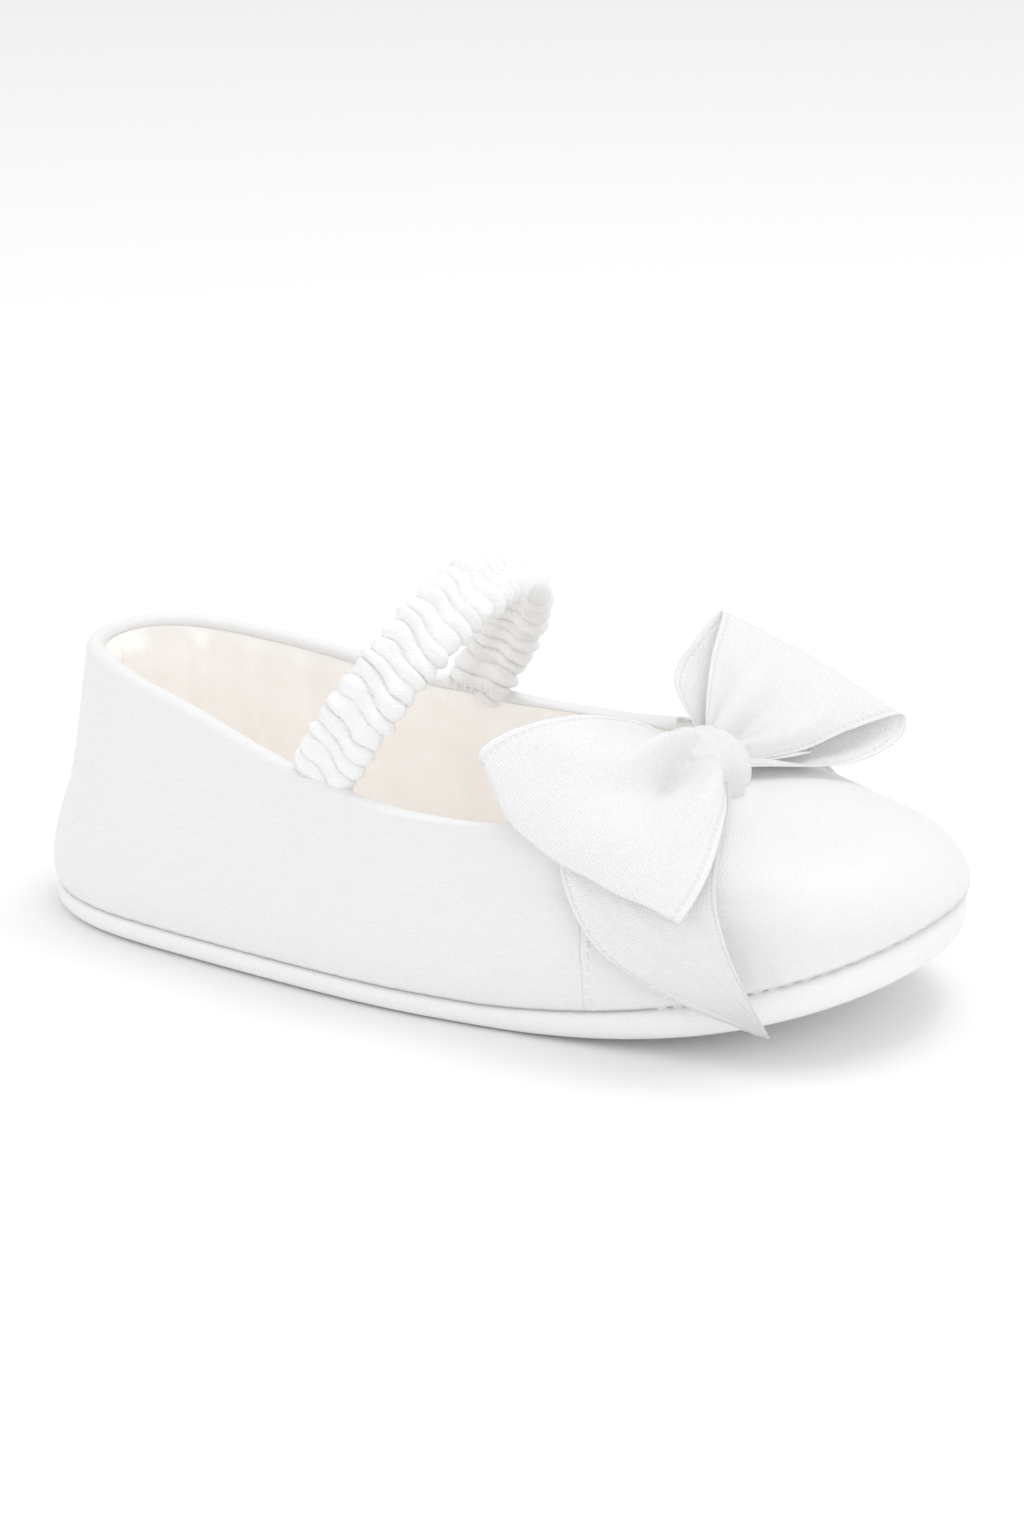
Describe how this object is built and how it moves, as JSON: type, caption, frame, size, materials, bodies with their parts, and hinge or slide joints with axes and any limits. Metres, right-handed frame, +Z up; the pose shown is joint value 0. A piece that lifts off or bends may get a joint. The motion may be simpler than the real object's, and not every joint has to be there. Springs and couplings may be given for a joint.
{
  "type": "ballet slipper",
  "caption": "Baby's soft satin ballet slipper with a padded sole, a ruched elastic strap over the instep and a sheer ribbon bow on the vamp.",
  "frame": {"origin": "on the ground under the middle of the sole", "axes": "+X to the toe, +Y to the wearer's left (far) side, +Z up"},
  "size_m": [0.1201, 0.0554, 0.0501],
  "materials": {
    "upper_satin": "white satin with a fine diagonal weave, soft sheen",
    "sole_satin": "white satin wrapped over padding",
    "lining": "cream sateen, smooth with soft creases",
    "interlining": "white felt",
    "board": "pressed fibre board",
    "foam": "soft foam",
    "strap_satin": "white satin gathered over elastic",
    "elastic": "woven elastic",
    "ribbon": "sheer white ribbon with woven edges",
    "thread": "twisted sewing thread"
  },
  "bodies": {
    "shoe": {"bow_knot": "ribbon", "bow_tack_thread": "thread", "bow_tail_root_left": "ribbon", "bow_tail_root_right": "ribbon", "insole_board": "board", "insole_foam": "foam", "insole_sock": "lining", "quarter_interlining_left": "interlining", "quarter_interlining_right": "interlining", "quarter_lining_left": "lining", "quarter_lining_right": "lining", "quarter_outer_left": "upper_satin", "quarter_outer_right": "upper_satin", "sole_cover": "sole_satin", "sole_pad": "foam", "sole_seam_stitches": "thread", "strap_tack_left": "thread", "strap_tack_right": "thread", "vamp_interlining": "interlining", "vamp_lining": "lining", "vamp_outer": "upper_satin", "vamp_seam_stitches_left": "thread", "vamp_seam_stitches_right": "thread"},
    "strap": {"strap_cover": "strap_satin", "strap_elastic": "elastic"},
    "loop_left": {"bow_loop_left": "ribbon"},
    "loop_right": {"bow_loop_right": "ribbon"},
    "tail_left": {"bow_tail_left": "ribbon"},
    "tail_right": {"bow_tail_right": "ribbon"}
  },
  "joints": [
    {"name": "strap_swing", "type": "hinge", "parent": "shoe", "child": "strap", "pos_m": [-0.0114, 0, 0.02797], "axis": [0, 1, 0], "range_deg": [-50, 12], "stiffness_Nm_per_rad": 0.01},
    {"name": "loop_left_lift", "type": "hinge", "parent": "shoe", "child": "loop_left", "pos_m": [0.0285, 0.00475, 0.0304], "axis": [0.9205, 0, -0.3907], "range_deg": [-5, 30], "stiffness_Nm_per_rad": 0.004},
    {"name": "loop_right_lift", "type": "hinge", "parent": "shoe", "child": "loop_right", "pos_m": [0.0285, -0.00475, 0.0304], "axis": [-0.9205, 0, 0.3907], "range_deg": [0, 35], "stiffness_Nm_per_rad": 0.004},
    {"name": "tail_left_swing", "type": "hinge", "parent": "shoe", "child": "tail_left", "pos_m": [0.034, 0.0274, 0.0186], "axis": [1, 0, 0], "range_deg": [0, 35], "stiffness_Nm_per_rad": 0.002},
    {"name": "tail_right_swing", "type": "hinge", "parent": "shoe", "child": "tail_right", "pos_m": [0.034, -0.0274, 0.0186], "axis": [-1, 0, 0], "range_deg": [0, 35], "stiffness_Nm_per_rad": 0.002}
  ]
}
